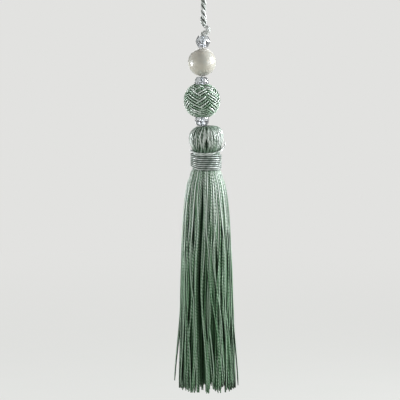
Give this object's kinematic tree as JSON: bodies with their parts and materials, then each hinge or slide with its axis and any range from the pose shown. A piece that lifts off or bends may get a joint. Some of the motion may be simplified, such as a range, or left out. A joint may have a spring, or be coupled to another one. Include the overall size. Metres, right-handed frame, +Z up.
{
  "type": "tassel pendant",
  "caption": "Hanging silk tassel with a bound neck, below a thread-woven ball, a pearl and faceted clear beads on a twisted cord with a loop.",
  "frame": {"origin": "the point inside the hanging loop's crown where a hook bears", "axes": "+Z up along the pendant, +X to the right and +Y away from the front"},
  "size_m": [0.0282, 0.0244, 0.1817],
  "materials": {
    "hanger_silk": "glossy pale silk cord",
    "stringing_thread": "fine pale thread",
    "clear_crystal": "polished cut glass",
    "pearl_coat": "glossy pearl coating",
    "ball_silk": "lustrous sage silk thread",
    "tassel_silk": "lustrous sage silk thread",
    "binding_silk": "lustrous sage silk thread"
  },
  "bodies": {
    "root": {"hanger_cord": "hanger_silk", "bead_thread": "stringing_thread", "crystal_bead_top": "clear_crystal", "pearl_bead": "pearl_coat", "crystal_bead_middle": "clear_crystal", "woven_ball": "ball_silk", "crystal_bead_bottom": "clear_crystal", "tassel": "tassel_silk", "neck_binding": "binding_silk"}
  },
  "joints": []
}
